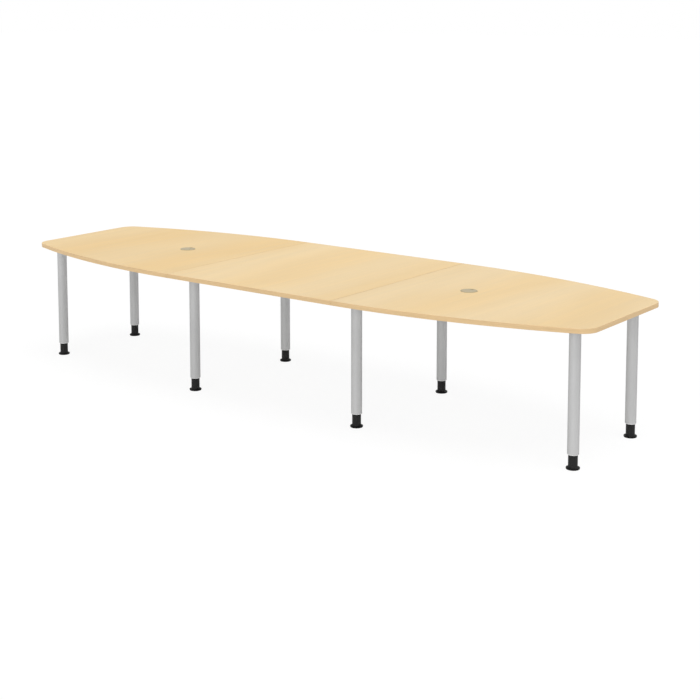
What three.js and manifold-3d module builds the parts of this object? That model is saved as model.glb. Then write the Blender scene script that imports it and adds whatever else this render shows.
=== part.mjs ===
// Boat-shaped conference table: a top of three boards with edge bands and two cable outlets,
// carried by eight round tube legs with black screw feet.
// Millimetres, +Z up. The origin is on the floor under the middle of the top,
// +X runs along the length and the near long side faces -Y.

import * as THREE from 'three';
import { mergeVertices } from 'three/addons/utils/BufferGeometryUtils.js';
import Module from 'manifold-3d';

// Table top
const TABLE_HEIGHT = 740; // floor to top surface, with the feet at rest
const TOP_LENGTH = 4000;
const TOP_WIDTH = 1300; // over the straight middle board
const SIDE_SWEEP = 250; // how far each side curves in between a seam and its end
const TOP_THICKNESS = 25;
const MIDDLE_LENGTH = 1200; // seam to seam
const CORNER_RADIUS = 100;
const SEAM_GAP = 1;
const EDGE_BAND_THICKNESS = 2;

// Cable outlets
const OUTLET_FROM_SEAM = 450; // outlet axis to the seam
const OUTLET_BORE_DIAMETER = 80; // hole in the board
const SLEEVE_WALL = 3.5;
const RIM_OVERLAP = 7.5; // of the rim on the board round the hole
const RIM_WIDTH = 4; // of the raised ring round the lid
const LEDGE_THICKNESS = 1; // of the seat under the lid
const LID_THICKNESS = 2; // the lid lies flush with the rim
const SKIRT_WALL = 2.5; // of the collar under the lid
const SKIRT_DEPTH = 10;
const NOTCH_WIDTH = 20; // cable notch in the lid
const NOTCH_DEPTH = 22;

// Legs
const END_LEG_INSET = 130; // leg axis to the straight end
const END_LEG_SIDE_INSET = 125; // leg axis to the curved side
const SEAM_LEG_SIDE_INSET = 230; // leg axis to the straight side
const TUBE_DIAMETER = 60;
const TUBE_WALL = 2;

// Sockets that hold the legs under the top
const SOCKET_FLANGE_WIDTH = 25; // beyond the tube
const SOCKET_THICKNESS = 5;
const SOCKET_HUB_LENGTH = 40;
const SOCKET_HUB_WALL = 5;
const SOCKET_SCREW_INSET = 12; // screw to the flange's edge
const SOCKET_SCREW_COUNT = 4;

// Plates that tie the boards together across the seams
const LINK_LENGTH = 240;
const LINK_WIDTH = 60;
const LINK_THICKNESS = 4;
const LINK_SCREW_INSET = 20; // outer screw to the plate's end
const LINK_SCREW_PITCH = 60; // outer screw to inner screw

const SCREW_HOLE_DIAMETER = 6;

// Screw feet
const FOOT_EXTENSION = 75; // floor to the collar under the tube, at rest
const FOOT_DROP = 32; // how far a foot screws out from rest
const FOOT_RISE = 48; // how far a foot screws in from rest
const FLANGE_WIDTH = 11.1; // beyond the column
const FLANGE_RIM = 5; // height of the flange's straight rim
const FLARE_HEIGHT = 10; // from the rim up to the round column
const GLIDE_THICKNESS = 3;
const GLIDE_INSET = 1; // glide to the flange's rim
const GLIDE_PIN_DIAMETER = 16;
const GLIDE_PIN_HEIGHT = 7;
const BUSH_WALL = 3;
const BUSH_COLLAR = 3; // height of the visible collar under the tube
const BUSH_NUT_THICKNESS = 14; // threaded wall at the top of the bush
const GUIDE_ENGAGEMENT = 45; // column left in the bush when the foot is right out
const SPINDLE_DIAMETER = 16;
const SPINDLE_SEAT_DEPTH = 40; // in the top of the column
const SPINDLE_RESERVE = 4; // spindle above the nut when the foot is right out

// Fits
const FIT_GAP = 0.3; // between pieces that are glued, pressed or laid together
const RUNNING_CLEARANCE = 0.3; // round a piece that slides or turns
const CUT_MARGIN = 5; // of a cutting shape past what it cuts

// Fineness of the round shapes
const ROUND_SIDES = 20;
const SMALL_ROUND_SIDES = 8;
const SIDE_STEPS = 14;
const CORNER_STEPS = 8;
const FLARE_STEPS = 3;
const MERGE_DISTANCE = 0.001; // between points that are taken as one

// Finishes
const MAPLE = { color: '#eed4a5', roughness: 0.45, metalness: 0 };
const MAPLE_EDGE = { color: '#dcbf93', roughness: 0.5, metalness: 0 };
const SILVER_PAINT = { color: '#b7b8ba', roughness: 0.4, metalness: 0.5 };
const ZINC = { color: '#a9abad', roughness: 0.45, metalness: 0.8 };
const BLACK_PLASTIC = { color: '#2b2b2b', roughness: 0.5, metalness: 0 };
const GREY_PLASTIC = { color: '#b4b0a4', roughness: 0.5, metalness: 0 };

// Places worked out from the sizes above
const underside = TABLE_HEIGHT - TOP_THICKNESS;
const seamX = MIDDLE_LENGTH / 2;
const endX = TOP_LENGTH / 2;
const sideY = TOP_WIDTH / 2;
const sideRun = endX - seamX;
const sideRadius = (sideRun ** 2 + SIDE_SWEEP ** 2) / (2 * SIDE_SWEEP);
const sideCentreY = sideY - sideRadius;
const cornerX = endX - CORNER_RADIUS;
const cornerReach = Math.sqrt((sideRadius - CORNER_RADIUS) ** 2 - (cornerX - seamX) ** 2);
const cornerY = sideCentreY + cornerReach;
const cornerAngle = Math.atan2(cornerReach, cornerX - seamX);
const bandInset = EDGE_BAND_THICKNESS + FIT_GAP;
const outletX = seamX + OUTLET_FROM_SEAM;
const rimRadius = OUTLET_BORE_DIAMETER / 2 + RIM_OVERLAP;
const ledge = TABLE_HEIGHT + LEDGE_THICKNESS;
const rimTop = ledge + LID_THICKNESS;
const tubeTop = underside - SOCKET_THICKNESS;
const tubeBottom = FOOT_EXTENSION + BUSH_COLLAR;
const tubeRadius = TUBE_DIAMETER / 2;
const tubeBore = tubeRadius - TUBE_WALL;

const wasm = await Module();
wasm.setup();

const table = new THREE.Group();

// Helpers

function add(name, geometry, finish, parent = table) {
  const mesh = new THREE.Mesh(geometry, new THREE.MeshStandardMaterial(finish));
  mesh.name = name;
  parent.add(mesh);
  return mesh;
}

// A solid of revolution about Z from [radius, height] pairs, outside going up.
function turned(profile, sides = ROUND_SIDES) {
  const points = profile.map(([radius, height]) => new THREE.Vector2(radius, height));
  return new THREE.LatheGeometry(points, sides).rotateX(Math.PI / 2);
}

// A turned ring: its profile comes back to its first point.
function turnedRing(profile, sides = ROUND_SIDES) {
  return turned([...profile, profile[0]], sides);
}

// A flat outline with its lower face at the given height.
function slab(shape, bottom, thickness) {
  const options = { depth: thickness, bevelEnabled: false };
  return new THREE.ExtrudeGeometry(shape, options).translate(0, 0, bottom);
}

function arcPoints(x, y, radius, from, to, steps) {
  return new THREE.EllipseCurve(x, y, radius, radius, from, to, to < from).getPoints(steps);
}

function rectanglePoints(x, y) {
  const corners = [[-x, -y], [x, -y], [x, y], [-x, y]];
  return corners.map((corner) => new THREE.Vector2(...corner));
}

function circlePath(x, y, diameter, sides) {
  return new THREE.Path(arcPoints(x, y, diameter / 2, 0, 2 * Math.PI, sides).slice(0, -1));
}

// The corner radius of a round hole whose flat sides still clear a turning shaft.
function holeRadius(shaftRadius, sides = ROUND_SIDES) {
  return (shaftRadius + RUNNING_CLEARANCE) / Math.cos(Math.PI / sides);
}

function toSolid(geometry) {
  const bare = geometry.clone();
  bare.deleteAttribute('normal');
  bare.deleteAttribute('uv');
  const merged = mergeVertices(bare, MERGE_DISTANCE);
  const corners = merged.index.array;
  const kept = [];
  for (let i = 0; i < corners.length; i += 3) {
    const [a, b, c] = corners.slice(i, i + 3);
    if (a !== b && b !== c && c !== a) kept.push(a, b, c);
  }
  return new wasm.Manifold(new wasm.Mesh({
    numProp: 3,
    vertProperties: new Float32Array(merged.attributes.position.array),
    triVerts: new Uint32Array(kept),
  }));
}

function toGeometry(solid) {
  const { vertProperties, triVerts } = solid.getMesh();
  const geometry = new THREE.BufferGeometry();
  geometry.setAttribute('position', new THREE.BufferAttribute(vertProperties, 3));
  geometry.setIndex(new THREE.BufferAttribute(triVerts, 1));
  geometry.computeVertexNormals();
  return geometry;
}

// Outlines of the boards, moved in by an inset

function middleOutline(inset) {
  const x = seamX - SEAM_GAP / 2 - inset;
  const y = sideY - inset;
  return rectanglePoints(x, y);
}

// The end board at +X: a straight seam, two long arcs, two round corners and a straight end.
function endOutline(inset) {
  const sideArc = sideRadius - inset;
  const cornerArc = CORNER_RADIUS - inset;
  const seamAngle = Math.acos((SEAM_GAP / 2 + inset) / sideArc);
  return [
    ...arcPoints(seamX, -sideCentreY, sideArc, -seamAngle, -cornerAngle, SIDE_STEPS),
    ...arcPoints(cornerX, -cornerY, cornerArc, -cornerAngle, 0, CORNER_STEPS).slice(1),
    ...arcPoints(cornerX, cornerY, cornerArc, 0, cornerAngle, CORNER_STEPS),
    ...arcPoints(seamX, sideCentreY, sideArc, cornerAngle, seamAngle, SIDE_STEPS).slice(1),
  ];
}

// Boards and edge bands

function board(outline, bores = []) {
  const shape = new THREE.Shape(outline(bandInset));
  shape.holes.push(...bores);
  return slab(shape, underside, TOP_THICKNESS);
}

function edgeBand(outline) {
  const shape = new THREE.Shape(outline(0));
  shape.holes.push(new THREE.Path(outline(EDGE_BAND_THICKNESS)));
  return slab(shape, underside, TOP_THICKNESS);
}

add('top_middle', board(middleOutline), MAPLE);
add('edge_band_middle', edgeBand(middleOutline), MAPLE_EDGE);

for (const [side, turn] of [['left', Math.PI], ['right', 0]]) {
  const half = new THREE.Group();
  half.rotation.z = turn;
  table.add(half);
  const bore = circlePath(outletX, 0, OUTLET_BORE_DIAMETER, ROUND_SIDES);
  add(`top_${side}`, board(endOutline, [bore]), MAPLE, half);
  add(`edge_band_${side}`, edgeBand(endOutline), MAPLE_EDGE, half);
}

// Cable outlets: a sleeve in the board, and a lid with a cable notch that lifts out of it

function outletSleeve() {
  const outer = OUTLET_BORE_DIAMETER / 2 - FIT_GAP;
  const inner = outer - SLEEVE_WALL;
  const seat = rimRadius - RIM_WIDTH;
  return turnedRing([
    [inner, underside],
    [outer, underside],
    [outer, TABLE_HEIGHT],
    [rimRadius, TABLE_HEIGHT],
    [rimRadius, rimTop],
    [seat, rimTop],
    [seat, ledge],
    [inner, ledge],
  ]);
}

function outletLid() {
  const plate = rimRadius - RIM_WIDTH - RUNNING_CLEARANCE;
  const skirt = OUTLET_BORE_DIAMETER / 2 - FIT_GAP - SLEEVE_WALL - RUNNING_CLEARANCE;
  const skirtBottom = ledge - SKIRT_DEPTH;
  const disc = turned([
    [0, ledge],
    [skirt - SKIRT_WALL, ledge],
    [skirt - SKIRT_WALL, skirtBottom],
    [skirt, skirtBottom],
    [skirt, ledge],
    [plate, ledge],
    [plate, rimTop],
    [0, rimTop],
  ]);
  const notchRadius = NOTCH_WIDTH / 2;
  const notchCentre = plate - NOTCH_DEPTH + notchRadius;
  const notchMouth = plate + CUT_MARGIN;
  const notch = new THREE.Shape([
    new THREE.Vector2(notchRadius, notchMouth),
    new THREE.Vector2(-notchRadius, notchMouth),
    ...arcPoints(0, notchCentre, notchRadius, Math.PI, 2 * Math.PI, SMALL_ROUND_SIDES),
  ]);
  const cutHeight = rimTop - skirtBottom + 2 * CUT_MARGIN;
  const cutter = slab(notch, skirtBottom - CUT_MARGIN, cutHeight);
  return toGeometry(toSolid(disc).subtract(toSolid(cutter)));
}

for (const [side, x] of [['left', -outletX], ['right', outletX]]) {
  add(`outlet_sleeve_${side}`, outletSleeve(), GREY_PLASTIC).position.x = x;
  add(`outlet_lid_${side}`, outletLid(), GREY_PLASTIC).position.x = x;
}

// Link plates under the seams

function linkPlate() {
  const x = LINK_LENGTH / 2;
  const y = LINK_WIDTH / 2;
  const shape = new THREE.Shape(rectanglePoints(x, y));
  const outerScrew = x - LINK_SCREW_INSET;
  for (const screwX of [outerScrew, outerScrew - LINK_SCREW_PITCH]) {
    shape.holes.push(circlePath(screwX, 0, SCREW_HOLE_DIAMETER, SMALL_ROUND_SIDES));
    shape.holes.push(circlePath(-screwX, 0, SCREW_HOLE_DIAMETER, SMALL_ROUND_SIDES));
  }
  return slab(shape, underside - LINK_THICKNESS, LINK_THICKNESS);
}

add('seam_link_left', linkPlate(), ZINC).position.x = -seamX;
add('seam_link_right', linkPlate(), ZINC).position.x = seamX;

// Leg pieces, each built about its own leg's axis

function legTube() {
  return turnedRing([
    [tubeBore, tubeBottom],
    [tubeRadius, tubeBottom],
    [tubeRadius, tubeTop],
    [tubeBore, tubeTop],
  ]);
}

// A screwed-on flange with a hollow hub that fills the top of the tube.
function legSocket() {
  const socketRadius = tubeRadius + SOCKET_FLANGE_WIDTH;
  const screwRadius = socketRadius - SOCKET_SCREW_INSET;
  const outline = arcPoints(0, 0, socketRadius, 0, 2 * Math.PI, ROUND_SIDES).slice(0, -1);
  const flange = new THREE.Shape(outline);
  for (let i = 0; i < SOCKET_SCREW_COUNT; i += 1) {
    const angle = (i + 0.5) * 2 * Math.PI / SOCKET_SCREW_COUNT;
    const x = Math.cos(angle) * screwRadius;
    const y = Math.sin(angle) * screwRadius;
    flange.holes.push(circlePath(x, y, SCREW_HOLE_DIAMETER, SMALL_ROUND_SIDES));
  }
  const hubRadius = tubeBore - FIT_GAP;
  const hubTop = tubeTop + SOCKET_THICKNESS / 2;
  const hub = turnedRing([
    [hubRadius - SOCKET_HUB_WALL, tubeTop - SOCKET_HUB_LENGTH],
    [hubRadius, tubeTop - SOCKET_HUB_LENGTH],
    [hubRadius, hubTop],
    [hubRadius - SOCKET_HUB_WALL, hubTop],
  ]);
  return toGeometry(toSolid(slab(flange, tubeTop, SOCKET_THICKNESS)).add(toSolid(hub)));
}

const bushRadius = tubeBore - FIT_GAP;
const columnRadius = bushRadius - BUSH_WALL - RUNNING_CLEARANCE;
const flangeRadius = columnRadius + FLANGE_WIDTH;
const columnTop = FOOT_EXTENSION + FOOT_DROP + GUIDE_ENGAGEMENT;
const nutBottom = columnTop + FOOT_RISE + RUNNING_CLEARANCE;
const nutTop = nutBottom + BUSH_NUT_THICKNESS;
const spindleRadius = SPINDLE_DIAMETER / 2;
const spindleBottom = columnTop - SPINDLE_SEAT_DEPTH;
const spindleTop = nutTop + FOOT_DROP + SPINDLE_RESERVE;

// Guides the foot's column in the tube, and carries the thread for its spindle.
function guideBush() {
  const bore = holeRadius(columnRadius);
  const thread = holeRadius(spindleRadius);
  return turnedRing([
    [bore, FOOT_EXTENSION],
    [tubeRadius, FOOT_EXTENSION],
    [tubeRadius, tubeBottom],
    [bushRadius, tubeBottom],
    [bushRadius, nutTop],
    [thread, nutTop],
    [thread, nutBottom],
    [bore, nutBottom],
  ]);
}

const footBottom = GLIDE_THICKNESS + RUNNING_CLEARANCE;
const glidePinTop = GLIDE_THICKNESS + GLIDE_PIN_HEIGHT;

// A wide flange that flares into a round column, with a seat for the spindle in its top.
function foot() {
  const flangeTop = footBottom + FLANGE_RIM;
  const pinHole = holeRadius(GLIDE_PIN_DIAMETER / 2);
  const pinHoleTop = glidePinTop + RUNNING_CLEARANCE;
  const seat = spindleRadius + FIT_GAP;
  const flare = [];
  for (let i = 0; i <= FLARE_STEPS; i += 1) {
    const angle = (i / FLARE_STEPS) * Math.PI / 2;
    const radius = columnRadius + FLANGE_WIDTH * (1 - Math.sin(angle));
    flare.push([radius, flangeTop + FLARE_HEIGHT * (1 - Math.cos(angle))]);
  }
  return turned([
    [0, pinHoleTop],
    [pinHole, pinHoleTop],
    [pinHole, footBottom],
    [flangeRadius, footBottom],
    ...flare,
    [columnRadius, columnTop],
    [seat, columnTop],
    [seat, spindleBottom],
    [0, spindleBottom],
  ]);
}

function spindle() {
  return turned([
    [0, spindleBottom],
    [spindleRadius, spindleBottom],
    [spindleRadius, spindleTop],
    [0, spindleTop],
  ], SMALL_ROUND_SIDES);
}

// The pad that stays still on the floor while the foot turns on its pin.
function glide() {
  const pad = flangeRadius - GLIDE_INSET;
  const pin = GLIDE_PIN_DIAMETER / 2;
  return turned([
    [0, 0],
    [pad, 0],
    [pad, GLIDE_THICKNESS],
    [pin, GLIDE_THICKNESS],
    [pin, glidePinTop],
    [0, glidePinTop],
  ]);
}

// The eight legs

const endLegX = endX - END_LEG_INSET;
const endLegEdge = sideCentreY + Math.sqrt(sideRadius ** 2 - (endLegX - seamX) ** 2);
const endLegY = endLegEdge - END_LEG_SIDE_INSET;
const seamLegY = sideY - SEAM_LEG_SIDE_INSET;
const legRows = [['end', endLegX, endLegY], ['seam', seamX, seamLegY]];

for (const [row, x, y] of legRows) {
  for (const [side, alongX] of [['left', -1], ['right', 1]]) {
    for (const [face, alongY] of [['front', -1], ['back', 1]]) {
      const place = `${row}_${side}_${face}`;
      const leg = new THREE.Group();
      leg.position.set(alongX * x, alongY * y, 0);
      table.add(leg);
      add(`leg_socket_${place}`, legSocket(), ZINC, leg);
      add(`leg_tube_${place}`, legTube(), SILVER_PAINT, leg);
      add(`guide_bush_${place}`, guideBush(), GREY_PLASTIC, leg);
      add(`spindle_${place}`, spindle(), ZINC, leg);
      add(`foot_${place}`, foot(), BLACK_PLASTIC, leg);
      add(`glide_${place}`, glide(), BLACK_PLASTIC, leg);
    }
  }
}

export default table;
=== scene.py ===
"""Boat-shaped conference table: fine meshes and finishes around its solids, on a pale stage."""

import math

import bmesh
import bpy
from mathutils import Matrix, Vector


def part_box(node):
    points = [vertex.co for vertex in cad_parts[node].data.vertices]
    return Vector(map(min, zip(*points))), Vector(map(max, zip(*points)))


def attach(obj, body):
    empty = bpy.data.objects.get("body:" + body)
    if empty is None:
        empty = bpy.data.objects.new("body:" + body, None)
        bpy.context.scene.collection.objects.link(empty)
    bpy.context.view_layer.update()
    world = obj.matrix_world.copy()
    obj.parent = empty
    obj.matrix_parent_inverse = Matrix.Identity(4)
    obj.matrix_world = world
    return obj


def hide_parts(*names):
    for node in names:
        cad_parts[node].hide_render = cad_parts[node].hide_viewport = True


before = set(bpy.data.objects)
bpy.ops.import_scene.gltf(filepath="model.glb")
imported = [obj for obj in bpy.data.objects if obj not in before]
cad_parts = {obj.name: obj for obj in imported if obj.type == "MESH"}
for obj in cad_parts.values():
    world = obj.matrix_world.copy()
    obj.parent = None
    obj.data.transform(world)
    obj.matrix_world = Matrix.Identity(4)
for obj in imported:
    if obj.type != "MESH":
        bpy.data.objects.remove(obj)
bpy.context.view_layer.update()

bl_info = {
    "name": "Conference Table",
    "version": (1, 0, 0),
    "blender": (4, 5, 0),
    "location": "View3D > Sidebar > Table",
    "description": "Models a boat-shaped conference table and the stage that it stands on",
    "category": "Add Mesh",
}

# Names and places that come from the frame
ROOT = "table_frame"
BOARDS = ("left", "middle", "right")
SIDES = ("left", "right")
LEGS = [
    f"{row}_{side}_{face}"
    for row in ("end", "seam")
    for side in SIDES
    for face in ("front", "back")
]
END_LOW, END_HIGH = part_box("edge_band_right")
MIDDLE_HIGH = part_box("edge_band_middle")[1]
UNDERSIDE = END_LOW.z
SURFACE = END_HIGH.z
END_X = END_HIGH.x
SIDE_Y = MIDDLE_HIGH.y
SEAM_X = (MIDDLE_HIGH.x + END_LOW.x) / 2

# Fineness of the meshes
SIDE_STEPS = 96
CORNER_STEPS = 32
ROUND_STEPS = 96
SMALL_ROUND_STEPS = 36
ROUNDING_SEGMENTS = 4
THREAD_STEPS = 18
FINE_ROUNDING = 0.0004
SOFT_ROUNDING = 0.0008
MERGE_DISTANCE = 1e-6
PLACE_DIGITS = 6
SHARP_ANGLE = math.radians(40)

# Patterns of the finishes: the range of noise and of a wave, the grain's step from board to board,
# and what the warm bands lack of red, green and blue
NOISE_RANGE = (0.3, 0.7)
WAVE_RANGE = (-1, 1)
GRAIN_STEP = Vector((0.37, 1.9, 0))
WARM_CAST = (0.005, 0.028, 0.08)

# Brightness of a white floor in the open, under the stage's lamps
OPEN_FLOOR = 0.9

UP = Vector((0, 0, 1))
CENTRE = Vector((0, 0, 0))
STILL = Vector((0, 0, 0))
FULL_TURN = 2 * math.pi


def colour(red, green, blue):
    """A linear colour from the eight-bit values that a screen shows."""
    linear = []
    for value in (red, green, blue):
        share = value / 255
        linear.append(share / 12.92 if share <= 0.04045 else ((share + 0.055) / 1.055) ** 2.4)
    return (*linear, 1.0)


def length(name, description, default):
    """A size in metres that a user can change."""
    return bpy.props.FloatProperty(
        name=name,
        description=description,
        default=default,
        precision=4,
        subtype="DISTANCE",
        unit="LENGTH",
    )


def tint(name, description, default):
    """A colour that a user can change."""
    return bpy.props.FloatVectorProperty(
        name=name,
        description=description,
        default=default,
        size=4,
        min=0,
        max=1,
        subtype="COLOR",
    )


def strength(name, description, default):
    """A light's strength that a user can change."""
    return bpy.props.FloatProperty(name=name, description=description, default=default, min=0)


def direction(name, description, default):
    """A direction that a user can change."""
    return bpy.props.FloatVectorProperty(
        name=name, description=description, default=default, subtype="DIRECTION"
    )


class TopSettings(bpy.types.PropertyGroup):
    """Sizes and colours of the boards and their edge bands."""

    side_sweep: length("Side sweep", "How far each side curves in towards its end", 0.25)
    corner_radius: length("Corner radius", "Radius of the four corners", 0.1)
    band_thickness: length("Band thickness", "Thickness of the edge bands", 0.002)
    edge_rounding: length("Edge rounding", "Rounding along the outer edges", 0.0015)
    seam_rounding: length("Seam rounding", "Rounding along the seams", 0.0003)
    left_maple: tint("Left board", "Mean colour of the left board", colour(234, 204, 152))
    middle_maple: tint("Middle board", "Mean colour of the middle board", colour(237, 209, 160))
    right_maple: tint("Right board", "Mean colour of the right board", colour(235, 208, 161))
    print_repeat: length("Print repeat", "From one pale band of the maple print to the next", 0.72)
    left_start: length("Left print", "Where a pale band crosses the left board", -1.2)
    middle_start: length("Middle print", "Where a pale band crosses the middle board", 0.28)
    right_start: length("Right print", "Where a pale band crosses the right board", 0.75)
    # The edge bands are more orange than the boards, and darker, partly as painted shade on their
    # upright faces.
    band_maple: tint("Edge bands", "Mean colour of the edge bands", colour(228, 195, 147))
    backing: tint("Backing", "Colour of the sheet under the boards", colour(222, 221, 217))


class OutletSettings(bpy.types.PropertyGroup):
    """Sizes and colour of the cable outlets."""

    bore_diameter: length("Bore", "Diameter of the hole in the board", 0.08)
    sleeve_wall: length("Sleeve wall", "Wall of the sleeve in the bore", 0.0035)
    rim_width: length("Rim width", "Width of the raised ring round the lid", 0.004)
    rim_rounding: length("Rim rounding", "Rounding of the raised ring", 0.0028)
    lid_thickness: length("Lid thickness", "Thickness of the lid's plate", 0.002)
    skirt_wall: length("Skirt wall", "Wall of the collar under the lid", 0.0025)
    notch_width: length("Notch width", "Width of the cable notch", 0.02)
    notch_depth: length("Notch depth", "Depth of the cable notch", 0.022)
    clearance: length("Clearance", "Gap round the lid", 0.0003)
    plastic: tint("Plastic", "Colour of the sleeves and lids", colour(177, 164, 132))


class LegSettings(bpy.types.PropertyGroup):
    """Sizes and colours of the tubes, sockets, bushes and link plates."""

    tube_wall: length("Tube wall", "Wall of the leg tubes", 0.002)
    nut_thickness: length("Nut", "Threaded wall at the top of the bush", 0.014)
    hub_wall: length("Hub wall", "Wall of the socket's hub in the tube", 0.005)
    fit_gap: length("Fit gap", "Gap between pieces that are pressed together", 0.0003)
    socket_rounding: length("Socket rounding", "Rounding of the socket's flange", 0.0015)
    screw_inset: length("Screw inset", "Socket screw to the flange's edge", 0.012)
    screw_head: length("Screw head", "Diameter of the screw heads", 0.0095)
    link_corner: length("Link corner", "Corner radius of the link plates", 0.006)
    link_screw_inset: length("Link screw inset", "Outer screw to the plate's end", 0.02)
    link_screw_pitch: length("Link screw pitch", "Outer screw to inner screw", 0.06)
    silver: tint("Silver", "Colour of the tubes' powder coat", colour(197, 197, 197))
    collar: tint("Collar", "Colour of the guide bushes", colour(236, 236, 235))
    zinc: tint("Zinc", "Colour of the plated fittings", colour(190, 192, 195))


class FootSettings(bpy.types.PropertyGroup):
    """Sizes and colours of the screw feet."""

    column_radius: length("Column", "Radius of the foot's round column", 0.0244)
    rim_height: length("Rim height", "Height of the flange's straight rim", 0.005)
    rim_rounding: length("Rim rounding", "Rounding of the flange's rim", 0.001)
    flare: length("Flare", "Radius of the flare from the flange to the column", 0.0098)
    pin_diameter: length("Glide pin", "Diameter of the pin that the foot turns on", 0.016)
    pad_thickness: length("Pad", "Thickness of the floor glide", 0.003)
    clearance: length("Clearance", "Gap round pieces that turn or slide", 0.0003)
    seat_depth: length("Seat depth", "Depth of the spindle's seat", 0.04)
    thread_pitch: length("Thread pitch", "Rise of the spindle's thread in a turn", 0.002)
    thread_depth: length("Thread depth", "Depth of the spindle's thread", 0.0011)
    column_black: tint("Column", "Colour of the column", colour(38, 38, 38))
    flange_black: tint("Flange", "Colour of the flange", colour(11, 11, 11))
    pad_black: tint("Pad", "Colour of the floor glide", colour(20, 20, 20))
    dust: tint("Dust", "Colour of the dust on the flange", colour(96, 93, 88))


class StageSettings(bpy.types.PropertyGroup):
    """Floor, light and camera."""

    floor_reach: length("Floor reach", "Half the width of the floor", 60)
    floor_white: tint("Floor", "Colour of the floor", colour(238, 238, 238))
    shadow_share: bpy.props.FloatProperty(
        name="Shadow",
        description="Share of the floor's brightness that the shadow can take away",
        default=0.1,
        min=0,
        max=1,
        subtype="FACTOR",
    )
    ambient: strength("Ambient", "Strength of the light from all round", 0.45)
    key: strength("Key light", "Strength of the main lamp", 1.63)
    key_direction: direction("Key direction", "Where the main lamp is", (0.28, -0.1, 0.955))
    fill: strength("Fill light", "Strength of the low lamp in front", 0.7)
    fill_direction: direction("Fill direction", "Where the low lamp is", (0.2, -0.94, 0.27))
    softness: bpy.props.FloatProperty(
        name="Softness",
        description="Angle that each lamp fills",
        default=math.radians(40),
        subtype="ANGLE",
        unit="ROTATION",
    )
    camera_place: bpy.props.FloatVectorProperty(
        name="Camera place",
        description="Where the camera stands",
        default=(5.0995, -6.4336, 2.3572),
        subtype="TRANSLATION",
        unit="LENGTH",
    )
    camera_turn: bpy.props.FloatVectorProperty(
        name="Camera turn",
        description="How the camera is turned",
        default=(math.radians(83.476), 0, math.radians(37.079)),
        subtype="EULER",
        unit="ROTATION",
    )
    camera_lens: bpy.props.FloatProperty(
        name="Lens",
        description="Focal length on a 36 mm sensor",
        default=72.8,
        min=1,
        unit="CAMERA",
    )
    camera_shift: bpy.props.FloatProperty(
        name="Vertical shift",
        description="How far the picture is moved down",
        default=-0.28,
    )


# Places in the frame

def axis_of(node):
    """The foot of a round node's upright axis."""
    low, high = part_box(node)
    return Vector(((low.x + high.x) / 2, (low.y + high.y) / 2, 0))


def radius_of(node):
    low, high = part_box(node)
    return (high.x - low.x) / 2


def leg_heights(kind):
    """Bottom and top of a kind of node that all legs have at the same height."""
    low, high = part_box(f"{kind}_{LEGS[0]}")
    return low.z, high.z


def leg_radius(kind):
    return radius_of(f"{kind}_{LEGS[0]}")


# Shapes

def everything(bm):
    return bm.verts[:] + bm.edges[:] + bm.faces[:]


def verts_of(geometry):
    return [item for item in geometry if isinstance(item, bmesh.types.BMVert)]


def line_to(bm, vert, point):
    """Draws a straight edge on from a vertex."""
    end = bmesh.ops.extrude_vert_indiv(bm, verts=[vert])["verts"][0]
    end.co = point
    return end


def spun(bm, geometry, angle, steps, centre=CENTRE, rise=STILL, **options):
    """Spins geometry round an upright axis."""
    return bmesh.ops.spin(
        bm, geom=geometry, cent=centre, axis=UP, dvec=rise, angle=angle, steps=steps, **options
    )


def arc_to(bm, vert, centre, angle, steps):
    """Draws an arc on from a vertex, round an upright axis."""
    arc = spun(bm, [vert], angle, steps, centre)
    return verts_of(arc["geom_last"])[0]


def closed_outline(bm, points):
    """Joins points with edges, and leaves out an edge that lies on the Z axis."""
    corners = [bm.verts.new(point) for point in points]
    edges = []
    for first, second in zip(corners, corners[1:] + corners[:1]):
        if first.co.xy.length or second.co.xy.length:
            edges.append(bm.edges.new((first, second)))
    return corners, edges


def bevelled(bm, geometry, size, kind="EDGES"):
    """Rounds edges, or the vertices of a flat outline."""
    bmesh.ops.bevel(
        bm,
        geom=geometry,
        offset=size,
        offset_type="OFFSET",
        segments=ROUNDING_SEGMENTS,
        profile=0.5,
        affect=kind,
        material=-1,
    )


def turned(profile, steps=ROUND_STEPS):
    """Spins an outline of (radius, height, rounding) corners round the Z axis."""
    bm = bmesh.new()
    corners, _ = closed_outline(bm, [(radius, 0, height) for radius, height, _ in profile])
    for size in sorted({row[2] for row in profile if row[2]}):
        rounded = [vert for vert, row in zip(corners, profile) if row[2] == size]
        bevelled(bm, rounded, size, "VERTICES")
    spun(bm, everything(bm), FULL_TURN, steps, use_merge=True)
    return bm


def close_ends(bm):
    """Fills the open ends of a shape that a section was swept along."""
    bmesh.ops.holes_fill(bm, edges=[edge for edge in bm.edges if edge.is_boundary])


def raise_faces(bm, height):
    """Makes the flat faces of a bmesh into a slab of that height."""
    raised = bmesh.ops.extrude_face_region(bm, geom=bm.faces[:])["geom"]
    bmesh.ops.translate(bm, verts=verts_of(raised), vec=UP * height)


def level(items, height):
    """The edges or faces that lie flat at a height."""
    return [
        item
        for item in items
        if all(abs(vert.co.z - height) < MERGE_DISTANCE for vert in item.verts)
    ]


# Pieces

def piece(name, bm, material, body, slot, *nodes):
    """Makes a bmesh a piece that rides on a body and stands for solids of the frame."""
    bmesh.ops.remove_doubles(bm, verts=bm.verts[:], dist=MERGE_DISTANCE)
    bmesh.ops.recalc_face_normals(bm, faces=bm.faces[:])
    mesh = bpy.data.meshes.new(name)
    bm.to_mesh(mesh)
    bm.free()
    mesh.materials.append(material)
    mesh.shade_smooth()
    mesh.set_sharp_from_angle(angle=SHARP_ANGLE)
    made = bpy.data.objects.new(name, mesh)
    bpy.context.scene.collection.objects.link(made)
    weighted = made.modifiers.new("Weighted normals", "WEIGHTED_NORMAL")
    weighted.keep_sharp = True
    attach(made, body)
    if nodes:
        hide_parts(*nodes)
    return made


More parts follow.
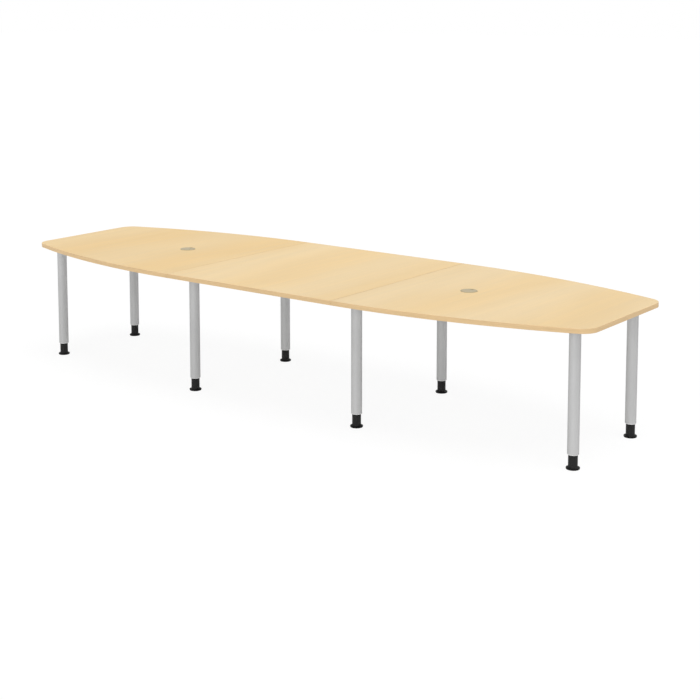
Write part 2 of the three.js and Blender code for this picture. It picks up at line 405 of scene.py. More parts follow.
def placed(bm, place):
    """A copy of a bmesh that was made on the Z axis, moved to its place."""
    copy = bm.copy()
    bmesh.ops.translate(copy, verts=copy.verts[:], vec=place)
    return copy


def leg_pieces(name, bm, material, slot, node=None, unit=None):
    """A copy on each leg's axis, which rides on the leg's own unit or on the table's frame."""
    for leg in LEGS:
        body = f"{unit}_{leg}" if unit else ROOT
        nodes = [f"{node}_{leg}"] if node else []
        place = axis_of(f"leg_tube_{leg}")
        piece(f"{name}_{leg}", placed(bm, place), material, body, slot, *nodes)
    bm.free()


# Building blocks of the finishes

def new_finish(name, specular, metallic=0.0):
    """A material with only its Principled shader."""
    material = bpy.data.materials.new(name)
    material.use_nodes = True
    tree = material.node_tree
    shader = tree.nodes["Principled BSDF"]
    shader.inputs["Specular IOR Level"].default_value = specular
    shader.inputs["Metallic"].default_value = metallic
    return material, tree, shader


def object_place(tree, scale=(1, 1, 1), offset=(0, 0, 0)):
    """Object coordinates, stretched so that a pattern has a direction and a size."""
    source = tree.nodes.new("ShaderNodeTexCoord")
    mapping = tree.nodes.new("ShaderNodeMapping")
    mapping.inputs["Scale"].default_value = scale
    mapping.inputs["Location"].default_value = offset
    tree.links.new(source.outputs["Object"], mapping.inputs["Vector"])
    return mapping.outputs["Vector"]


def cloud(tree, grains, detail=2.0, offset=(0, 0, 0)):
    """Noise with that many grains to a metre, each way or along each axis."""
    if not isinstance(grains, tuple):
        grains = (grains,) * 3
    noise = tree.nodes.new("ShaderNodeTexNoise")
    noise.inputs["Scale"].default_value = 1
    noise.inputs["Detail"].default_value = detail
    tree.links.new(object_place(tree, grains, offset), noise.inputs["Vector"])
    return noise.outputs["Fac"]


def plug(tree, socket, value):
    """Links a socket to another, or sets it to a plain value."""
    if isinstance(value, bpy.types.NodeSocket):
        tree.links.new(value, socket)
    else:
        socket.default_value = value


def reckon(tree, operation, *values):
    """A math node on sockets and plain numbers."""
    node = tree.nodes.new("ShaderNodeMath")
    node.operation = operation
    for socket, value in zip(node.inputs, values):
        plug(tree, socket, value)
    return node.outputs["Value"]


def mixture(tree, *parts):
    """The sum of (pattern, weight) pairs."""
    total = 0.0
    for pattern, weight in parts:
        total = reckon(tree, "MULTIPLY_ADD", pattern, weight, total)
    return total


def span(tree, value, source, target):
    """Stretches what lies between two numbers over two others."""
    node = tree.nodes.new("ShaderNodeMapRange")
    tree.links.new(value, node.inputs["Value"])
    for end, number in zip(("From Min", "From Max", "To Min", "To Max"), (*source, *target)):
        node.inputs[end].default_value = number
    return node.outputs["Result"]


def shaded(mean, share):
    """A colour made darker or lighter by a share."""
    return (*(channel * share for channel in mean[:3]), 1.0)


def cast(mean, warmth):
    """A colour made warmer, or cooler where the warmth is below nought."""
    channels = zip(mean[:3], WARM_CAST)
    return (*(channel * (1 - share * warmth) for channel, share in channels), 1.0)


def tone(tree, value, mean, spread, ends=NOISE_RANGE):
    """Runs from darker to lighter than a mean colour as a pattern goes from end to end."""
    node = tree.nodes.new("ShaderNodeValToRGB")
    tree.links.new(value, node.inputs["Fac"])
    for stop, position, share in zip(node.color_ramp.elements, ends, (1 - spread, 1 + spread)):
        stop.position = position
        stop.color = shaded(mean, share)
    return node.outputs["Color"]


def layer(tree, share, under, over):
    """Lays one colour over another by a share."""
    node = tree.nodes.new("ShaderNodeMix")
    node.data_type = "RGBA"
    sockets = {socket.identifier: socket for socket in (*node.inputs, *node.outputs)}
    plug(tree, sockets["Factor_Float"], share)
    plug(tree, sockets["A_Color"], under)
    plug(tree, sockets["B_Color"], over)
    return sockets["Result_Color"]


def dress(tree, shader, base, roughness, bumps, depth):
    """Gives a shader its colour, its roughness and bumps of that depth in metres."""
    tree.links.new(base, shader.inputs["Base Color"])
    tree.links.new(roughness, shader.inputs["Roughness"])
    node = tree.nodes.new("ShaderNodeBump")
    node.inputs["Strength"].default_value = 1
    node.inputs["Distance"].default_value = depth
    tree.links.new(bumps, node.inputs["Height"])
    tree.links.new(node.outputs["Normal"], shader.inputs["Normal"])


# Finishes

def print_bands(tree, start, repeat):
    """Broad bands of a printed sheet across X, bent a little: nought is warm and one is pale."""
    place = tree.nodes.new("ShaderNodeSeparateXYZ")
    tree.links.new(object_place(tree, offset=(-start, 0, 0)), place.inputs["Vector"])
    bend = span(tree, cloud(tree, grains=1.1, detail=1), NOISE_RANGE, target=(-0.9, 0.9))
    phase = reckon(tree, "MULTIPLY_ADD", place.outputs["X"], FULL_TURN / repeat, bend)
    return span(tree, reckon(tree, "COSINE", phase), WAVE_RANGE, target=(0, 1))


def growth_lines(tree, offset):
    """Thin lines along Y, where a slow noise crosses one level after another."""
    levels = 70
    slow = cloud(tree, grains=(1.5, 0.2, 1.5), detail=0.5, offset=offset)
    wave = reckon(tree, "SINE", reckon(tree, "MULTIPLY", slow, levels))
    return span(tree, wave, WAVE_RANGE, target=(0.35, 0.65))


def maple_face(name, mean, offset, start, repeat):
    """Satin pale maple: printed bands, growth lines, streaks and fibres along Y, and short pores."""
    material, tree, shader = new_finish(name, specular=0.12)
    patches = cloud(tree, grains=(2.2, 0.25, 2.2), detail=1, offset=offset)
    lines = growth_lines(tree, offset)
    streaks = cloud(tree, grains=(36, 0.9, 36), detail=3, offset=offset)
    fibres = cloud(tree, grains=(520, 8, 520), offset=offset)
    figure = mixture(tree, (patches, 0.22), (lines, 0.2), (streaks, 0.34), (fibres, 0.24))
    warm = tone(tree, figure, cast(mean, warmth=1), spread=0.06, ends=(0.32, 0.68))
    pale = tone(tree, figure, cast(mean, warmth=-1), spread=0.06, ends=(0.32, 0.68))
    grain = layer(tree, print_bands(tree, start, repeat), under=warm, over=pale)
    dashes = cloud(tree, grains=(1100, 70, 1100), detail=1, offset=offset)
    pores = span(tree, dashes, source=(0.66, 0.74), target=(0, 0.35))
    base = layer(tree, pores, under=grain, over=shaded(mean, share=0.72))
    satin = span(tree, streaks, NOISE_RANGE, target=(0.46, 0.56))
    bumps = mixture(tree, (fibres, 0.7), (cloud(tree, grains=1500), 0.3))
    dress(tree, shader, base, satin, bumps, depth=0.00005)
    return material


def maple_band(mean):
    """Plastic edge in maple, with fine level streaks; its mean colour is more orange than the
    boards, and darker partly as painted shade on the upright edges.
    """
    material, tree, shader = new_finish("maple_band", specular=0.3)
    streaks = cloud(tree, grains=(3, 3, 420), detail=3)
    patches = cloud(tree, grains=(7, 7, 60))
    figure = mixture(tree, (streaks, 0.6), (patches, 0.4))
    base = tone(tree, figure, mean, spread=0.1)
    satin = span(tree, patches, NOISE_RANGE, target=(0.46, 0.56))
    dress(tree, shader, base, satin, cloud(tree, grains=1400), depth=0.00003)
    return material


def silver_coat(mean):
    """Satin silver powder coat: fine metal flakes and a slight orange peel."""
    material, tree, shader = new_finish("silver_coat", specular=0.3, metallic=0.3)
    shader.inputs["Specular Tint"].default_value = shaded(mean, share=0.2)
    flakes = cloud(tree, grains=2600, detail=1)
    drift = cloud(tree, grains=(9, 9, 2.5))
    figure = mixture(tree, (flakes, 0.6), (drift, 0.4))
    base = tone(tree, figure, mean, spread=0.12)
    satin = span(tree, flakes, NOISE_RANGE, target=(0.34, 0.46))
    bumps = mixture(tree, (cloud(tree, grains=330), 0.8), (flakes, 0.2))
    dress(tree, shader, base, satin, bumps, depth=0.00004)
    return material


def zinc_plate(mean):
    """Zinc-plated steel with cloudy passivation."""
    material, tree, shader = new_finish("zinc_plate", specular=0.5, metallic=1.0)
    mottle = cloud(tree, grains=70, detail=4)
    scratches = cloud(tree, grains=(90, 900, 90))
    figure = mixture(tree, (mottle, 0.7), (scratches, 0.3))
    base = tone(tree, figure, mean, spread=0.16)
    sheen = span(tree, mottle, NOISE_RANGE, target=(0.28, 0.46))
    dress(tree, shader, base, sheen, scratches, depth=0.00002)
    return material


def moulded_plastic(name, mean, roughness, specular, spread=0.06):
    """Moulded plastic with a fine eroded grain, rubbed smoother in places."""
    rubbed = 0.06
    material, tree, shader = new_finish(name, specular)
    grain = cloud(tree, grains=1900)
    smear = cloud(tree, grains=34, detail=3)
    figure = mixture(tree, (grain, 0.5), (smear, 0.5))
    base = tone(tree, figure, mean, spread)
    worn = span(tree, smear, NOISE_RANGE, target=(roughness - rubbed, roughness + rubbed))
    dress(tree, shader, base, worn, grain, depth=0.00004)
    return material


def foot_plastic(settings, flange_top, flare_top):
    """Satin black, darker from the top of the flare down to the flange, and dusty where it meets the
    floor.
    """
    material = moulded_plastic(
        "foot_black", settings.column_black, roughness=0.55, specular=0.15, spread=0.14
    )
    tree = material.node_tree
    outside = tree.nodes["Principled BSDF"].inputs["Base Color"]
    height = tree.nodes.new("ShaderNodeSeparateXYZ")
    tree.links.new(object_place(tree), height.inputs["Vector"])
    low = span(tree, height.outputs["Z"], source=(flange_top, flare_top), target=(1, 0))
    column = outside.links[0].from_socket
    # The column's colour gives way to the darker flange colour from the top of the flare down to the
    # flange.
    darker_low = layer(tree, low, under=column, over=settings.flange_black)
    specks = span(tree, cloud(tree, grains=260, detail=4), source=(0.6, 0.75), target=(0, 0.2))
    dust = reckon(tree, "MULTIPLY", specks, low)
    tree.links.new(layer(tree, dust, under=darker_low, over=settings.dust), outside)
    return material


# Pieces of the top

def top_face(settings):
    """The outline of the whole top, as one flat face at the height of its underside."""
    run = END_X - SEAM_X
    sweep = settings.side_sweep
    radius = (run ** 2 + sweep ** 2) / (2 * sweep)
    side_centre = Vector((SEAM_X, SIDE_Y - radius, UNDERSIDE))
    corner_x = END_X - settings.corner_radius
    reach = math.sqrt((radius - settings.corner_radius) ** 2 - (corner_x - SEAM_X) ** 2)
    corner_centre = Vector((corner_x, side_centre.y + reach, UNDERSIDE))
    corner_angle = math.atan2(reach, corner_x - SEAM_X)
    bm = bmesh.new()
    point = bm.verts.new((0, SIDE_Y, UNDERSIDE))
    point = line_to(bm, point, (SEAM_X, SIDE_Y, UNDERSIDE))
    point = arc_to(bm, point, side_centre, corner_angle - math.pi / 2, SIDE_STEPS)
    point = arc_to(bm, point, corner_centre, -corner_angle, CORNER_STEPS)
    line_to(bm, point, (END_X, 0, UNDERSIDE))
    for axis in ("Y", "X"):
        bmesh.ops.mirror(bm, geom=everything(bm), axis=axis, merge_dist=MERGE_DISTANCE)
    bmesh.ops.contextual_create(bm, geom=bm.edges[:])
    return bm


def board_face(name, settings):
    """The part of the top's face that one board and its band fill, cut at the seams."""
    bm = top_face(settings)
    low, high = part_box(f"edge_band_{name}")
    for cut_x, outwards in ((low.x, -1), (high.x, 1)):
        bmesh.ops.bisect_plane(
            bm,
            geom=everything(bm),
            dist=MERGE_DISTANCE,
            plane_co=(cut_x, 0, 0),
            plane_no=(outwards, 0, 0),
            clear_outer=True,
        )
    return bm


def split_band(bm, thickness):
    """Insets a board's face by its band, and gives the band's faces."""
    return bmesh.ops.inset_region(
        bm, faces=bm.faces[:], thickness=thickness, use_even_offset=True, use_boundary=True
    )["faces"]


def bore_board(bm, centre, radius):
    """Cuts a round hole in a board's face."""
    bmesh.ops.delete(bm, geom=bm.faces[:], context="FACES_ONLY")
    place = Matrix.Translation((centre.x, centre.y, UNDERSIDE))
    bmesh.ops.create_circle(bm, segments=ROUND_STEPS, radius=radius, matrix=place)
    bmesh.ops.triangle_fill(bm, use_beauty=True, edges=bm.edges[:])


class TABLE_OT_boards(bpy.types.Operator):
    """Models the three boards of the top, maple above and plain below"""

    bl_idname = "conference_table.boards"
    bl_label = "Boards"

    def execute(self, context):
        settings = context.scene.table_top
        bore = context.scene.table_outlets.bore_diameter / 2
        backing = moulded_plastic("backing_sheet", settings.backing, roughness=0.7, specular=0.2)
        for number, name in enumerate(BOARDS):
            bm = board_face(name, settings)
            band = split_band(bm, settings.band_thickness)
            bmesh.ops.delete(bm, geom=band, context="FACES")
            if name in SIDES:
                bore_board(bm, axis_of(f"outlet_sleeve_{name}"), bore)
            raise_faces(bm, SURFACE - UNDERSIDE)
            for face in level(bm.faces, UNDERSIDE):
                face.material_index = 1
            mean = getattr(settings, f"{name}_maple")
            start = getattr(settings, f"{name}_start")
            offset = GRAIN_STEP * number
            finish = maple_face(f"maple_{name}", mean, offset, start, settings.print_repeat)
            board = piece(f"board_{name}", bm, finish, ROOT, "maple_board", f"top_{name}")
            board.data.materials.append(backing)
        return {"FINISHED"}


class TABLE_OT_edge_bands(bpy.types.Operator):
    """Models the rounded edge band of each board"""

    bl_idname = "conference_table.edge_bands"
    bl_label = "Edge bands"

    def execute(self, context):
        settings = context.scene.table_top
        finish = maple_band(settings.band_maple)
        for name in BOARDS:
            bm = board_face(name, settings)
            rim = {vert.co.xy.to_tuple(PLACE_DIGITS) for vert in bm.verts}
            band = split_band(bm, settings.band_thickness)
            inside = [face for face in bm.faces if face not in band]
            bmesh.ops.delete(bm, geom=inside, context="FACES")
            raise_faces(bm, SURFACE - UNDERSIDE)
            self.soften(bm, rim, settings)
            piece(f"band_{name}", bm, finish, ROOT, "maple_edge", f"edge_band_{name}")
        return {"FINISHED"}

    def soften(self, bm, rim, settings):
        """Rounds the outer edges well and the edges along a seam a little."""
        edges = [
            edge
            for edge in level(bm.edges, SURFACE) + level(bm.edges, UNDERSIDE)
            if all(vert.co.xy.to_tuple(PLACE_DIGITS) in rim for vert in edge.verts)
        ]
        seam = [edge for edge in edges if all(self.on_seam(vert) for vert in edge.verts)]
        outer = [edge for edge in edges if edge not in seam]
        bevelled(bm, outer, settings.edge_rounding)
        bevelled(bm, [edge for edge in seam if edge.is_valid], settings.seam_rounding)

    def on_seam(self, vert):
        gap = END_LOW.x - MIDDLE_HIGH.x
        return abs(abs(vert.co.x) - SEAM_X) < gap


# Pieces of the cable outlets

class TABLE_OT_outlet_sleeves(bpy.types.Operator):
    """Models the sleeve and raised rim of each cable outlet"""

    bl_idname = "conference_table.outlet_sleeves"
    bl_label = "Outlet sleeves"

    def execute(self, context):
        settings = context.scene.table_outlets
        finish = moulded_plastic("outlet_grey", settings.plastic, roughness=0.5, specular=0.3)
        node = f"outlet_sleeve_{SIDES[0]}"
        rim = radius_of(node)
        rim_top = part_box(node)[1].z
        outer = settings.bore_diameter / 2 - settings.clearance
        inner = outer - settings.sleeve_wall
        seat = rim - settings.rim_width
        ledge = rim_top - settings.lid_thickness
        bm = turned(
            [
                (inner, UNDERSIDE, FINE_ROUNDING),
                (outer, UNDERSIDE, FINE_ROUNDING),
                (outer, SURFACE, 0),
                (rim, SURFACE, 0),
                (rim, rim_top, settings.rim_rounding),
                (seat, rim_top, FINE_ROUNDING),
                (seat, ledge, 0),
                (inner, ledge, FINE_ROUNDING),
            ]
        )
        for side in SIDES:
            node = f"outlet_sleeve_{side}"
            piece(f"sleeve_{side}", placed(bm, axis_of(node)), finish, ROOT, "grey_plastic", node)
        bm.free()
        return {"FINISHED"}


class TABLE_OT_outlet_lids(bpy.types.Operator):
    """Models the lid of each cable outlet, with its cable notch"""

    bl_idname = "conference_table.outlet_lids"
    bl_label = "Outlet lids"

    def execute(self, context):
        settings = context.scene.table_outlets
        finish = moulded_plastic("lid_grey", settings.plastic, roughness=0.46, specular=0.3)
        node = f"outlet_lid_{SIDES[0]}"
        low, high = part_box(node)
        ledge = high.z - settings.lid_thickness
        bm = self.plate(settings, radius_of(node), ledge)
        self.add_skirt(bm, settings, low.z, ledge)
        for side in SIDES:
            node = f"outlet_lid_{side}"
            copy = placed(bm, axis_of(f"outlet_sleeve_{side}"))
            piece(f"lid_{side}", copy, finish, f"lid_unit_{side}", "grey_plastic", node)
        bm.free()
        return {"FINISHED"}

    def plate(self, settings, radius, ledge):
        """A round plate with a notch that opens towards +Y."""
        half = settings.notch_width / 2
        mouth_angle = math.asin(half / radius)
        notch_y = radius - settings.notch_depth + half
        bm = bmesh.new()
        first = bm.verts.new((half, radius * math.cos(mouth_angle), ledge))
        point = arc_to(bm, first, CENTRE, 2 * mouth_angle - FULL_TURN, ROUND_STEPS)
        point = line_to(bm, point, (-half, notch_y, ledge))
        point = arc_to(bm, point, Vector((0, notch_y, ledge)), math.pi, SMALL_ROUND_STEPS)
        bm.edges.new((point, first))
        bmesh.ops.contextual_create(bm, geom=bm.edges[:])
        raise_faces(bm, settings.lid_thickness)
        bevelled(bm, level(bm.edges, ledge + settings.lid_thickness), SOFT_ROUNDING)
        return bm

    def add_skirt(self, bm, settings, bottom, ledge):
        """A ring under the plate, open at the notch."""
        outer = settings.bore_diameter / 2 - settings.sleeve_wall - 2 * settings.clearance
        inner = outer - settings.skirt_wall
        gap = math.asin(settings.notch_width / 2 / inner)
        section = [(0, inner, ledge), (0, outer, ledge), (0, outer, bottom), (0, inner, bottom)]
        corners, edges = closed_outline(bm, section)
        bmesh.ops.rotate(bm, verts=corners, cent=CENTRE, matrix=Matrix.Rotation(-gap, 3, "Z"))
        spun(bm, corners + edges, 2 * gap - FULL_TURN, ROUND_STEPS)
        close_ends(bm)


# Pieces of the legs

class TABLE_OT_leg_tubes(bpy.types.Operator):
    """Models the eight round leg tubes"""

    bl_idname = "conference_table.leg_tubes"
    bl_label = "Leg tubes"

    def execute(self, context):
        settings = context.scene.table_legs
        bottom, top = leg_heights("leg_tube")
        outer = leg_radius("leg_tube")
        inner = outer - settings.tube_wall
        bm = turned(
            [
                (inner, bottom, FINE_ROUNDING),
                (outer, bottom, FINE_ROUNDING),
                (outer, top, FINE_ROUNDING),
                (inner, top, FINE_ROUNDING),
            ]
        )
        leg_pieces("tube", bm, silver_coat(settings.silver), "silver_tube", "leg_tube")
        return {"FINISHED"}


class TABLE_OT_guide_bushes(bpy.types.Operator):
    """Models the guide bush and its collar at the bottom of each tube"""

    bl_idname = "conference_table.guide_bushes"
    bl_label = "Guide bushes"

    def execute(self, context):
        settings = context.scene.table_legs
        feet = context.scene.table_feet
        finish = moulded_plastic("collar_grey", settings.collar, roughness=0.48, specular=0.3)
        bottom, top = leg_heights("guide_bush")
        collar = leg_radius("guide_bush")
        collar_top = leg_heights("leg_tube")[0]
        outer = collar - settings.tube_wall - settings.fit_gap
        bore = feet.column_radius + feet.clearance
        thread = leg_radius("spindle") + feet.clearance
        nut_bottom = top - settings.nut_thickness
        bm = turned(
            [
                (bore, bottom, FINE_ROUNDING),
                (collar, bottom, SOFT_ROUNDING),
                (collar, collar_top, FINE_ROUNDING),
                (outer, collar_top, 0),
                (outer, top, SOFT_ROUNDING),
                (thread, top, FINE_ROUNDING),
                (thread, nut_bottom, FINE_ROUNDING),
                (bore, nut_bottom, 0),
            ]
        )
        leg_pieces("bush", bm, finish, "grey_plastic", "guide_bush")
        return {"FINISHED"}


def screw_head(radius):
    """A domed screw head with a six-lobed recess, hanging from the origin."""
    lobes = 6
    lobe_depth = 0.2
    recess = 0.45 * radius
    crown_radius = 0.75 * radius
    shoulder = 0.2 * radius
    crown = 0.5 * radius
    shoulder_rounding = 0.1 * radius
    crown_rounding = 0.15 * radius
    bm = turned(
        [
            (0, 0, 0),
            (radius, 0, 0),
            (radius, -shoulder, shoulder_rounding),
            (crown_radius, -crown, crown_rounding),
            (recess, -crown, 0),
            (recess, -shoulder, 0),
            (0, -shoulder, 0),
        ],
        SMALL_ROUND_STEPS,
    )
    for vert in bm.verts:
        if vert.co.xy.length < recess + MERGE_DISTANCE:
            angle = math.atan2(vert.co.y, vert.co.x)
            vert.co.xy *= 1 + lobe_depth * math.cos(lobes * angle)
    return bm


class TABLE_OT_leg_sockets(bpy.types.Operator):
    """Models the socket that holds each leg under the top, and its screws"""

    bl_idname = "conference_table.leg_sockets"
    bl_label = "Leg sockets"

    def execute(self, context):
        settings = context.scene.table_legs
        finish = zinc_plate(settings.zinc)
        bottom, top = leg_heights("leg_socket")
        flange = leg_radius("leg_socket")
        seat = leg_heights("leg_tube")[1]
        hub = leg_radius("leg_tube") - settings.tube_wall - settings.fit_gap
        bore = hub - settings.hub_wall
        bm = turned(
            [
                (0, seat, 0),
                (bore, seat, 0),
                (bore, bottom, FINE_ROUNDING),
                (hub, bottom, SOFT_ROUNDING),
                (hub, seat, 0),
                (flange, seat, settings.socket_rounding),
                (flange, top, FINE_ROUNDING),
                (0, top, 0),
            ]
        )
        leg_pieces("socket", bm, finish, "zinc_fitting", "leg_socket")
        screws = self.screws(settings, flange - settings.screw_inset, seat)
        leg_pieces("socket_screws", screws, finish, "zinc_fitting")
        return {"FINISHED"}

    def screws(self, settings, reach, seat):
        """Four screw heads round the leg, between its X and Y directions."""
        count = 4
        bm = screw_head(settings.screw_head / 2)
        turn = Matrix.Rotation(FULL_TURN / count / 2, 3, "Z")
        bmesh.ops.translate(bm, verts=bm.verts[:], vec=turn @ Vector((reach, 0, 0)) + UP * seat)
        others = count - 1
        spun(bm, everything(bm), FULL_TURN * others / count, others, use_duplicate=True)
        return bm


class TABLE_OT_seam_links(bpy.types.Operator):
    """Models the link plate under each seam, and its screws"""

    bl_idname = "conference_table.seam_links"
    bl_label = "Seam links"

    def execute(self, context):
        settings = context.scene.table_legs
        finish = zinc_plate(settings.zinc)
        low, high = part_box(f"seam_link_{SIDES[0]}")
        size = high - low
        plate = self.plate(settings, size, low.z)
        screws = self.screws(settings, size.x / 2 - settings.link_screw_inset, low.z)
        for side in SIDES:
            node = f"seam_link_{side}"
            place = axis_of(node)
            piece(f"link_{side}", placed(plate, place), finish, ROOT, "zinc_fitting", node)
            piece(f"link_screws_{side}", placed(screws, place), finish, ROOT, "zinc_fitting")
        plate.free()
        screws.free()
        return {"FINISHED"}

    def plate(self, settings, size, bottom):
        """A flat plate with round corners and softened lower edges."""
        bm = bmesh.new()
        shape = Matrix.Translation(UP * bottom) @ Matrix.Diagonal((size.x, size.y, 1, 1))
        bmesh.ops.create_grid(bm, x_segments=1, y_segments=1, size=0.5, matrix=shape)
        bevelled(bm, bm.verts[:], settings.link_corner, "VERTICES")
        raise_faces(bm, size.z)
        bevelled(bm, level(bm.edges, bottom), SOFT_ROUNDING)
        return bm

    def screws(self, settings, reach, seat):
        """Two screw heads on each side of the seam."""
        bm = screw_head(settings.screw_head / 2)
        bmesh.ops.translate(bm, verts=bm.verts[:], vec=(reach, 0, seat))
        inner = bmesh.ops.duplicate(bm, geom=everything(bm))["geom"]
        bmesh.ops.translate(bm, verts=verts_of(inner), vec=(-settings.link_screw_pitch, 0, 0))
        bmesh.ops.mirror(bm, geom=everything(bm), axis="X", merge_dist=MERGE_DISTANCE)
        return bm


# Pieces of the feet

class TABLE_OT_feet(bpy.types.Operator):
    """Models the black screw foot of each leg"""

    bl_idname = "conference_table.feet"
    bl_label = "Feet"

    def execute(self, context):
        settings = context.scene.table_feet
        bottom, top = leg_heights("foot")
        flange = leg_radius("foot")
        flange_top = bottom + settings.rim_height
        column = settings.column_radius
        pin = settings.pin_diameter / 2 + settings.clearance
        pin_top = leg_heights("glide")[1] + settings.clearance
        seat = leg_radius("spindle") + settings.clearance
        seat_bottom = top - settings.seat_depth
        bm = turned(
            [
                (0, pin_top, 0),
                (pin, pin_top, 0),
                (pin, bottom, FINE_ROUNDING),
                (flange, bottom, SOFT_ROUNDING),
                (flange, flange_top, settings.rim_rounding),
                (column, flange_top, settings.flare),
                (column, top, SOFT_ROUNDING),
                (seat, top, FINE_ROUNDING),
                (seat, seat_bottom, 0),
                (0, seat_bottom, 0),
            ]
        )
        flare_top = flange_top + settings.flare
        finish = foot_plastic(settings, flange_top, flare_top)
        leg_pieces("screw_foot", bm, finish, "black_plastic", "foot", "foot_unit")
        return {"FINISHED"}


class TABLE_OT_spindles(bpy.types.Operator):
    """Models the threaded spindle of each foot"""

    bl_idname = "conference_table.spindles"
    bl_label = "Spindles"

    def execute(self, context):
        settings = context.scene.table_feet
        finish = zinc_plate(context.scene.table_legs.zinc)
        bottom, top = leg_heights("spindle")
        crest = leg_radius("spindle")
        root = crest - settings.thread_depth
        bm = turned(
            [
                (0, bottom, 0),
                (root, bottom, FINE_ROUNDING),
                (root, top, FINE_ROUNDING),
                (0, top, 0),
            ],
            THREAD_STEPS,
        )
        self.add_thread(bm, settings, crest, bottom, top)
        leg_pieces("threaded_spindle", bm, finish, "zinc_fitting", "spindle", "foot_unit")
        return {"FINISHED"}

    def add_thread(self, bm, settings, crest, bottom, top):
        """A ridge that winds up the core, sunk a little into it, short of the core's ends."""
        pitch = settings.thread_pitch
        plain_turns = 2
        turns = int((top - bottom) / pitch) - plain_turns
        sunk_share = 1.25
        sunk = crest - sunk_share * settings.thread_depth
        middle = bottom + pitch
        half_root = 0.4 * pitch
        half_crest = 0.05 * pitch
        section = [
            (sunk, 0, middle - half_root),
            (crest, 0, middle - half_crest),
            (crest, 0, middle + half_crest),
            (sunk, 0, middle + half_root),
        ]
        corners, edges = closed_outline(bm, section)
        rise = UP * (pitch / THREAD_STEPS)
        spun(bm, corners + edges, FULL_TURN * turns, THREAD_STEPS * turns, rise=rise)
        close_ends(bm)


class TABLE_OT_glides(bpy.types.Operator):
    """Models the floor glide under each foot"""

    bl_idname = "conference_table.glides"
    bl_label = "Glides"

    def execute(self, context):
        settings = context.scene.table_feet
        finish = moulded_plastic(
            "pad_black", settings.pad_black, roughness=0.75, specular=0.1, spread=0.15
        )
        bottom, top = leg_heights("glide")
        pad = leg_radius("glide")
        pad_top = bottom + settings.pad_thickness
        pin = settings.pin_diameter / 2
        bm = turned(
            [
                (0, bottom, 0),
                (pad, bottom, SOFT_ROUNDING),
                (pad, pad_top, FINE_ROUNDING),
                (pin, pad_top, 0),
                (pin, top, SOFT_ROUNDING),
                (0, top, 0),
            ]
        )
        leg_pieces("floor_glide", bm, finish, "glide_pad", "glide", "glide_unit")
        return {"FINISHED"}


# Stage

def seen_share(tree):
    """One for rays from the camera, in reflections and through glass, and nought for the others."""
    path = tree.nodes.new("ShaderNodeLightPath")
    mirrored = reckon(
        tree, "MAXIMUM", path.outputs["Is Glossy Ray"], path.outputs["Is Transmission Ray"]
    )
    return reckon(tree, "MAXIMUM", path.outputs["Is Camera Ray"], mirrored)


def seen_or_lit(tree, lit, seen, output):
    """Gives one shader to the light and another to the eye."""
    choice = tree.nodes.new("ShaderNodeMixShader")
    for source, socket in zip((seen_share(tree), lit, seen), choice.inputs):
        tree.links.new(source, socket)
    tree.links.new(choice.outputs["Shader"], output.inputs["Surface"])


def floor_finish(settings):
    """Pale to the light, and white to the eye apart from the shadow."""
    material = bpy.data.materials.new("stage_floor")
    material.use_nodes = True
    tree = material.node_tree
    tree.nodes.clear()
    output = tree.nodes.new("ShaderNodeOutputMaterial")
    pale = tree.nodes.new("ShaderNodeBsdfDiffuse")
    pale.inputs["Color"].default_value = settings.floor_white
    shadowed = tree.nodes.new("ShaderNodeBsdfDiffuse")
    share = settings.shadow_share
    shadowed.inputs["Color"].default_value = (share, share, share, 1)
    glow = tree.nodes.new("ShaderNodeEmission")
    glow.inputs["Strength"].default_value = 1 - share * OPEN_FLOOR
    seen = tree.nodes.new("ShaderNodeAddShader")
    tree.links.new(shadowed.outputs["BSDF"], seen.inputs[0])
    tree.links.new(glow.outputs["Emission"], seen.inputs[1])
    seen_or_lit(tree, pale.outputs["BSDF"], seen.outputs["Shader"], output)
    return material


def backdrop(tree, strength):
    node = tree.nodes.new("ShaderNodeBackground")
    node.inputs["Color"].default_value = (1, 1, 1, 1)
    node.inputs["Strength"].default_value = strength
    return node.outputs["Background"]


class TABLE_OT_stage(bpy.types.Operator):
    """Sets the floor, the light and the camera"""

    bl_idname = "conference_table.stage"
    bl_label = "Stage"

    def execute(self, context):
        scene = context.scene
        settings = scene.table_stage
        scene.view_settings.view_transform = "Standard"
        self.floor(scene, settings)
        self.world(scene, settings)
        self.lamp(scene, "key_light", settings.key, settings.key_direction)
        self.lamp(scene, "fill_light", settings.fill, settings.fill_direction)
        self.camera(scene, settings)
        return {"FINISHED"}

    def floor(self, scene, settings):
        bm = bmesh.new()
        bmesh.ops.create_grid(bm, x_segments=1, y_segments=1, size=settings.floor_reach)
        mesh = bpy.data.meshes.new("floor")
        bm.to_mesh(mesh)
        bm.free()
        mesh.materials.append(floor_finish(settings))
        floor = bpy.data.objects.new("floor", mesh)
        scene.collection.objects.link(floor)

    def world(self, scene, settings):
        """Soft light from all round, against a white background."""
        world = bpy.data.worlds.new("stage_world")
        world.use_nodes = True
        tree = world.node_tree
        tree.nodes.clear()
        output = tree.nodes.new("ShaderNodeOutputWorld")
        seen_or_lit(tree, backdrop(tree, settings.ambient), backdrop(tree, 1), output)
        scene.world = world

    def lamp(self, scene, name, strength, direction):
        """A soft lamp far away, in that direction."""
        data = bpy.data.lights.new(name, "SUN")
        data.energy = strength
        data.angle = scene.table_stage.softness
        lamp = bpy.data.objects.new(name, data)
        lamp.rotation_euler = Vector(direction).to_track_quat("Z", "Y").to_euler()
        scene.collection.objects.link(lamp)

    def camera(self, scene, settings):
        data = bpy.data.cameras.new("camera")
        data.lens = settings.camera_lens
        data.shift_y = settings.camera_shift
        camera = bpy.data.objects.new("camera", data)
        camera.location = settings.camera_place
        camera.rotation_euler = settings.camera_turn
        scene.collection.objects.link(camera)
        scene.camera = camera


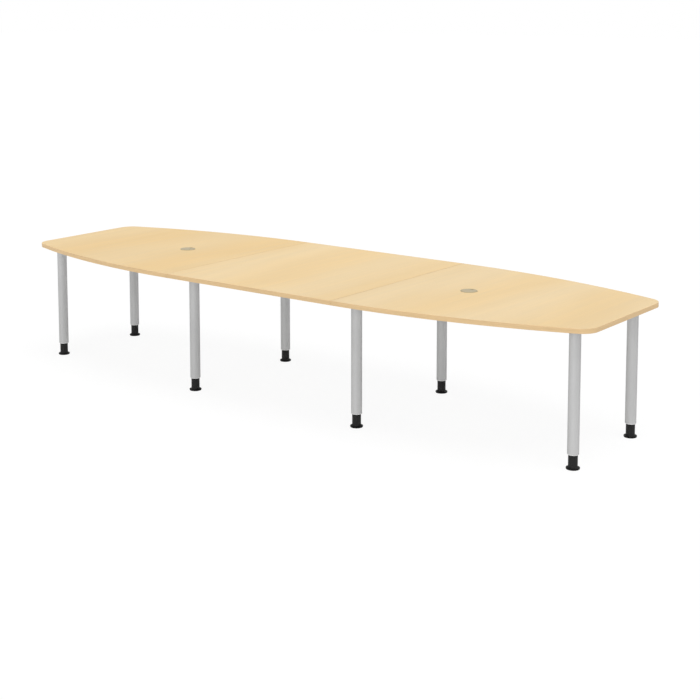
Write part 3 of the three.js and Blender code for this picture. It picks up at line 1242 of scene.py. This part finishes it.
class TABLE_PT_sidebar(bpy.types.Panel):
    """Lists the table's settings and the operators that model its pieces"""

    bl_label = "Conference table"
    bl_idname = "TABLE_PT_sidebar"
    bl_space_type = "VIEW_3D"
    bl_region_type = "UI"
    bl_category = "Table"

    def draw(self, context):
        for title, group in SETTINGS.items():
            box = self.layout.box()
            box.label(text=title)
            settings = getattr(context.scene, group)
            for name in settings.bl_rna.properties.keys():
                if name not in ("name", "rna_type"):
                    box.prop(settings, name)
        for operator in OPERATORS:
            self.layout.operator(operator.bl_idname)


SETTINGS = {
    "Top": "table_top",
    "Cable outlets": "table_outlets",
    "Legs": "table_legs",
    "Feet": "table_feet",
    "Stage": "table_stage",
}
GROUPS = (TopSettings, OutletSettings, LegSettings, FootSettings, StageSettings)
OPERATORS = (
    TABLE_OT_stage,
    TABLE_OT_boards,
    TABLE_OT_edge_bands,
    TABLE_OT_outlet_sleeves,
    TABLE_OT_outlet_lids,
    TABLE_OT_leg_tubes,
    TABLE_OT_guide_bushes,
    TABLE_OT_leg_sockets,
    TABLE_OT_seam_links,
    TABLE_OT_feet,
    TABLE_OT_spindles,
    TABLE_OT_glides,
)


def register():
    for group, name in zip(GROUPS, SETTINGS.values()):
        bpy.utils.register_class(group)
        setattr(bpy.types.Scene, name, bpy.props.PointerProperty(type=group))
    for operator in OPERATORS:
        bpy.utils.register_class(operator)
    bpy.utils.register_class(TABLE_PT_sidebar)


def unregister():
    bpy.utils.unregister_class(TABLE_PT_sidebar)
    for operator in reversed(OPERATORS):
        bpy.utils.unregister_class(operator)
    for group, name in zip(GROUPS, SETTINGS.values()):
        delattr(bpy.types.Scene, name)
        bpy.utils.unregister_class(group)


def main():
    register()
    bpy.ops.conference_table.stage()
    bpy.ops.conference_table.boards()
    bpy.ops.conference_table.edge_bands()
    bpy.ops.conference_table.outlet_sleeves()
    bpy.ops.conference_table.outlet_lids()
    bpy.ops.conference_table.leg_tubes()
    bpy.ops.conference_table.guide_bushes()
    bpy.ops.conference_table.leg_sockets()
    bpy.ops.conference_table.seam_links()
    bpy.ops.conference_table.feet()
    bpy.ops.conference_table.spindles()
    bpy.ops.conference_table.glides()


if __name__ == "__main__":
    main()
